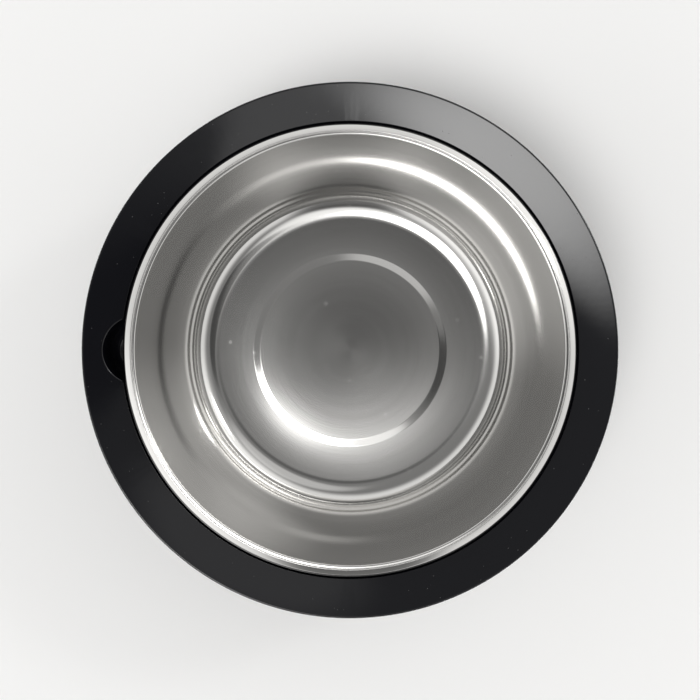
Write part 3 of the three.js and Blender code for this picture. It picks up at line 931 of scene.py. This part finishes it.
def steel_bowl(finish):
    """The bowl: pressed floor, leaning wall, and an open rolled rim behind a crease."""
    roll = Vector((rim_radius - RIM_ROLL_RADIUS, bowl_high.z - RIM_ROLL_DROP))
    start = math.pi / 2 - RIM_TOP_LEAN
    curl_inside = arc(roll, RIM_ROLL_RADIUS - BOWL_SHEET, start, start - CURL_SWEEP)
    curl_outside = arc(roll, RIM_ROLL_RADIUS, start - CURL_SWEEP, start)
    top_inward = Vector((-math.cos(RIM_TOP_LEAN), math.sin(RIM_TOP_LEAN)))
    crest_line = Vector((rim_radius - RIM_CREST_INSET, 0))
    crest = meet(curl_outside[-1], top_inward, crest_line, upright)
    under_crest = meet(curl_inside[0], top_inward, crest_line, upright)
    crease = crest - Vector((RIM_CREASE_WIDTH, RIM_CREASE_DEPTH))
    under_crease = crease - upright * BOWL_SHEET
    shoulder_inward = Vector((-math.cos(RIM_SHOULDER_LEAN), math.sin(RIM_SHOULDER_LEAN)))
    shoulder = meet(crease, shoulder_inward, bowl_wall_inside, wall_up)
    under_shoulder = at_height(bowl_wall_outside, wall_up, under_crease.y)
    outside_foot = at_height(bowl_wall_outside, wall_up, bowl_underside).x
    inside_foot = at_height(bowl_wall_inside, wall_up, bowl_underside + BOWL_SHEET).x
    panel = PANEL_RADIUS + PANEL_SLOPE
    outside = section([
        corner(0, bowl_underside + PANEL_RISE),
        corner(PANEL_RADIUS, bowl_underside + PANEL_RISE, PANEL_ROUNDING - BOWL_SHEET),
        corner(panel, bowl_underside, PANEL_ROUNDING),
        corner(outside_foot, bowl_underside, BOWL_CORNER_RADIUS),
        at(under_shoulder),
        at(under_crease),
        at(under_crest),
    ])
    floor = bowl_underside + BOWL_SHEET
    inside = section([
        at(curl_outside[-1]),
        at(crest, RIM_CREST_RADIUS),
        at(crease, RIM_CREASE_RADIUS),
        at(shoulder, RIM_SHOULDER_RADIUS),
        corner(inside_foot, floor, BOWL_CORNER_RADIUS - BOWL_SHEET),
        corner(panel, floor, PANEL_ROUNDING - BOWL_SHEET),
        corner(PANEL_RADIUS, floor + PANEL_RISE, PANEL_ROUNDING),
        corner(0, floor + PANEL_RISE),
    ])
    points = outside + curl_inside + curl_outside[:-1] + inside
    return smoothed(turned("lift_out_steel_bowl", points, finish))


def bottom_cover(finish):
    """The cover under the base, with cups for the screw heads and recesses for the feet."""
    panel_edge = COVER_PANEL_RADIUS + COVER_PANEL_RISE
    points = section([
        corner(0, cover_underside + COVER_PANEL_RISE),
        corner(COVER_PANEL_RADIUS, cover_underside + COVER_PANEL_RISE, COVER_EDGE_RADIUS),
        corner(panel_edge, cover_underside, COVER_EDGE_RADIUS),
        corner(cover_radius, cover_underside, COVER_EDGE_RADIUS),
        corner(cover_radius, cover_top, COVER_EDGE_RADIUS),
        corner(panel_edge, cover_top, COVER_EDGE_RADIUS),
        corner(COVER_PANEL_RADIUS, cover_top + COVER_PANEL_RISE, COVER_EDGE_RADIUS),
        corner(0, cover_top + COVER_PANEL_RISE),
    ])
    cover = turned("bottom_closing_cover", points, finish)
    cup = turned("cup", section([
        corner(0, cover_underside + COVER_THICKNESS / 2),
        corner(cup_radius, cover_underside + COVER_THICKNESS / 2),
        corner(cup_radius, cup_top, COVER_EDGE_RADIUS),
        corner(0, cup_top),
    ]), finish, SMALL_SIDES)
    cover = joined(cover, ring_of(cup, finish, post_circle, post_angle), "UNION")
    bore = turned("cup_bore", section([
        corner(0, cover_underside - OVERRUN),
        corner(cup_bore + CUP_CHAMFER + OVERRUN, cover_underside - OVERRUN),
        corner(cup_bore, cover_underside + CUP_CHAMFER),
        corner(cup_bore, cup_ceiling),
        corner(pilot_radius, cup_ceiling),
        corner(pilot_radius, cup_top + OVERRUN),
        corner(0, cup_top + OVERRUN),
    ]), finish, SMALL_SIDES)
    cover = joined(cover, ring_of(bore, finish, post_circle, post_angle), "DIFFERENCE")
    foot_recess = FOOT_RADIUS + FOOT_CLEARANCE
    recess = turned("foot_recess", section([
        corner(0, cover_underside - OVERRUN),
        corner(foot_recess + CUP_CHAMFER + OVERRUN, cover_underside - OVERRUN),
        corner(foot_recess, cover_underside + CUP_CHAMFER),
        corner(foot_recess, cover_underside + FOOT_RECESS_DEPTH),
        corner(STEM_RADIUS + SEATING_GAP, cover_underside + FOOT_RECESS_DEPTH),
        corner(STEM_RADIUS + SEATING_GAP, cover_top + OVERRUN),
        corner(0, cover_top + OVERRUN),
    ]), finish, SMALL_SIDES)
    return smoothed(joined(cover, ring_of(recess, finish, foot_circle, 0.0), "DIFFERENCE"))


def cover_seal(finish):
    """The flat ring between cover and ledge, with two raised beads above and below."""
    outer = seal_high.x
    inner = outer - SEAL_WIDTH
    low = seal_low.z + SEAL_BEAD_RADIUS
    high = seal_high.z - SEAL_BEAD_RADIUS
    points = []
    for share in SEAL_BEAD_SHARES:
        centre = Vector((inner + SEAL_WIDTH * share, low))
        points += arc(centre, SEAL_BEAD_RADIUS, math.pi, 2 * math.pi)
    points = [Vector((inner, low))] + points + [Vector((outer, low)), Vector((outer, high))]
    for share in reversed(SEAL_BEAD_SHARES):
        centre = Vector((inner + SEAL_WIDTH * share, high))
        points += arc(centre, SEAL_BEAD_RADIUS, 0, math.pi)
    points.append(Vector((inner, high)))
    return smoothed(turned("rubber_cover_seal", points, finish, closed=True))


def ballast_ring(finish):
    """The iron ring that gives the base its weight, with a hole for each cup and post."""
    bore = pad_circle - (pad_high.x - pad_low.x) / 2 - PAD_INSET
    outer = ballast_high.x
    rounding = BALLAST_EDGE_RADIUS
    ring = turned("cast_ballast_ring", section([
        corner(bore, ballast_low.z, rounding),
        corner(outer, ballast_low.z, rounding),
        corner(outer, ballast_high.z, rounding),
        corner(bore, ballast_high.z, rounding),
    ]), finish, closed=True)
    hole_radius = cup_radius + BALLAST_CLEARANCE / 2
    low = ballast_low.z - OVERRUN
    high = ballast_high.z + OVERRUN
    hole = upright_bar("ballast_hole", hole_radius, low, high, finish)
    return smoothed(joined(ring, ring_of(hole, finish, post_circle, post_angle), "DIFFERENCE"))


def ballast_pads(finish):
    """The six pads that keep the ballast ring from rattling on the cover."""
    radius = (pad_high.x - pad_low.x) / 2
    pad = turned("ballast_pads", section([
        corner(0, pad_low.z),
        corner(radius, pad_low.z, PAD_EDGE_RADIUS),
        corner(radius, pad_high.z, PAD_EDGE_RADIUS),
        corner(0, pad_high.z),
    ]), finish, SMALL_SIDES)
    return smoothed(ring_of(pad, finish, pad_circle, 0.0))


def cover_screws(finish):
    """The six self-tapping screws, domed heads down, each driven to an angle of its own."""
    head_top = screw_high.z - SCREW_LENGTH
    head_under = head_top - SCREW_HEAD_HEIGHT
    thread_low = head_top + SCREW_COLLAR_LENGTH
    thread_high = screw_high.z - SCREW_TIP_LENGTH / 2
    straight = screw_high.z - SCREW_TIP_LENGTH - head_top
    rows = SCREW_THREAD_STEPS * math.ceil(straight / SCREW_THREAD_PITCH)
    shank = [Vector((SCREW_CORE_RADIUS, head_top + straight * row / rows)) for row in range(rows + 1)]
    head = section([
        corner(0, head_under),
        corner(SCREW_HEAD_RADIUS, head_under, SCREW_HEAD_HEIGHT / 2),
        corner(SCREW_HEAD_RADIUS, head_top),
    ])
    screw = turned("cover_screws", head + shank + [Vector((0, screw_high.z))], finish, SMALL_SIDES)
    screw = worked(
        screw, THREAD, Pitch=SCREW_THREAD_PITCH, Core=SCREW_CORE_RADIUS,
        Crest=SCREW_THREAD_RADIUS, Low=thread_low, High=thread_high, Finish=finish,
    )
    slot_size = Vector((DRIVE_SLOT_LENGTH, DRIVE_SLOT_WIDTH, 2 * DRIVE_SLOT_DEPTH))
    for size in (slot_size, slot_size.yxz):
        slot = bpy.data.meshes.new("drive_slot")
        cutter = bmesh.new()
        bmesh.ops.create_cube(cutter, size=1)
        bmesh.ops.scale(cutter, vec=size, verts=cutter.verts)
        bmesh.ops.translate(cutter, vec=(0, 0, head_under), verts=cutter.verts)
        cutter.to_mesh(slot)
        cutter.free()
        screw = joined(screw, shown("drive_slot", slot), "DIFFERENCE")
    return smoothed(ring_of(screw, finish, post_circle, post_angle, SCREW_CHANCE_TURN))


def rubber_feet(finish):
    """The six push-in feet: dished pad in the recess, stem through the cover, and a barb."""
    pad_top = cover_underside + FOOT_RECESS_DEPTH - SEATING_GAP
    barb_low = foot_high.z - BARB_HEIGHT
    foot = turned("rubber_feet", section([
        corner(0, foot_low.z + FOOT_DISH_DEPTH),
        corner(FOOT_DISH_RADIUS - FOOT_DISH_DEPTH, foot_low.z + FOOT_DISH_DEPTH, FOOT_DISH_DEPTH),
        corner(FOOT_DISH_RADIUS, foot_low.z, FOOT_DISH_DEPTH / 2),
        corner(FOOT_RADIUS, foot_low.z, FOOT_EDGE_RADIUS),
        corner(FOOT_RADIUS, pad_top, PAD_EDGE_RADIUS),
        corner(STEM_RADIUS, pad_top),
        corner(STEM_RADIUS, barb_low),
        corner(BARB_RADIUS, barb_low, PAD_EDGE_RADIUS),
        corner(STEM_RADIUS, foot_high.z),
        corner(0, foot_high.z),
    ]), finish, SMALL_SIDES)
    return smoothed(ring_of(foot, finish, foot_circle, 0.0))


def numbered(name):
    """The names of the six nodes of a repeated piece."""
    return [f"{name}_{place + 1}" for place in range(FASTENER_COUNT)]


def add_pieces():
    """Every piece, riding on its body and standing for its nodes."""
    gloss = gloss_black_plastic(well_floor)
    rubber = black_rubber()
    pieces = [
        (base_shell(gloss), "base", "gloss_black_plastic", ["base_shell"]),
        (bottom_cover(matte_black_plastic()), "base", "matte_black_plastic", ["bottom_cover"]),
        (cover_seal(rubber), "base", "black_rubber", ["cover_seal"]),
        (ballast_ring(ballast_iron()), "base", "ballast_iron", ["ballast_ring"]),
        (ballast_pads(rubber), "base", "black_rubber", numbered("ballast_pad")),
        (cover_screws(screw_steel()), "base", "screw_steel", numbered("cover_screw")),
        (rubber_feet(rubber), "base", "black_rubber", numbered("foot")),
        (steel_bowl(stainless_steel()), "bowl", "stainless_steel", ["steel_bowl"]),
    ]
    for piece, body, finish_slot, nodes in pieces:
        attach(piece, body)
        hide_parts(*nodes)


def add_floor():
    """A plain pale floor that runs out to the horizon."""
    mesh = bpy.data.meshes.new("studio_floor")
    signs = [(-1, -1), (1, -1), (1, 1), (-1, 1)]
    mesh.from_pydata([(FLOOR_REACH * x, FLOOR_REACH * y, 0) for x, y in signs], [], [(0, 1, 2, 3)])
    mesh.materials.append(studio_floor())
    shown("studio_floor", mesh)


def facing(azimuth, elevation):
    """The direction towards a place in the studio, from the bowl."""
    azimuth = math.radians(azimuth)
    elevation = math.radians(elevation)
    flat = math.cos(elevation)
    return Vector((flat * math.cos(azimuth), flat * math.sin(azimuth), math.sin(elevation)))


def add_studio():
    """Pale walls under a darker ceiling, with windows, a lamp, and a pale and some dark places."""
    world = bpy.data.worlds.new("studio")
    world.use_nodes = True
    bpy.context.scene.world = world
    nodes = Nodes(world.node_tree)
    look = nodes.node("ShaderNodeTexCoord", output="Generated")
    split = nodes.node("ShaderNodeSeparateXYZ", inputs={"Vector": look})
    height = Socket(nodes, split.output.node.outputs["Z"])

    def patch(azimuth, elevation, inner, outer):
        """1 within the inner angle of a place in the studio, 0 past the outer, smooth between."""
        centre = {0: look, 1: facing(azimuth, elevation)}
        nearness = nodes.node("ShaderNodeVectorMath", {"operation": "DOT_PRODUCT"}, centre, output="Value")
        return nearness.above(math.cos(math.radians(outer)), math.cos(math.radians(inner)))

    ceiling = height.above(*(math.sin(math.radians(elevation)) for elevation in CEILING_FADE))
    room = WALL_LIGHT - (WALL_LIGHT - CEILING_LIGHT) * ceiling
    window = WINDOW_LIGHT * patch(*WINDOW) + SASH_LIGHT * patch(*SASH)
    window += LOW_WINDOW_LIGHT * patch(*LOW_WINDOW)
    lamp = LAMP_LIGHT * patch(*LAMP) + LAMP_GLOW_LIGHT * patch(*LAMP_GLOW)
    pale_corner = PALE_CORNER_LIGHT * patch(*PALE_CORNER)
    dark_corner = 1 - (1 - DARK_CORNER_SHARE) * patch(*DARK_CORNER)
    dark_door = 1 - (1 - DARK_DOOR_SHARE) * patch(*DARK_DOOR)
    camera = 1 - (1 - CAMERA_SHARE) * patch(*CAMERA_PLACE)
    strength = (room + window + lamp + pale_corner) * dark_corner * dark_door * camera
    background = {"Color": (*ROOM_WHITE, 1), "Strength": strength}
    surroundings = nodes.node("ShaderNodeBackground", {}, background)
    nodes.node("ShaderNodeOutputWorld", {}, {"Surface": surroundings})


def add_camera():
    """The camera straight above the bowl, with the scoop on the left."""
    view = bpy.data.cameras.new("overhead_camera")
    view.lens = CAMERA_LENS
    camera = bpy.data.objects.new("overhead_camera", view)
    bpy.context.scene.collection.objects.link(camera)
    camera.location = (0, 0, CAMERA_HEIGHT)
    bpy.context.scene.camera = camera


add_camera()
add_pieces()
add_floor()
add_studio()
bpy.context.scene.view_settings.view_transform = "Standard"
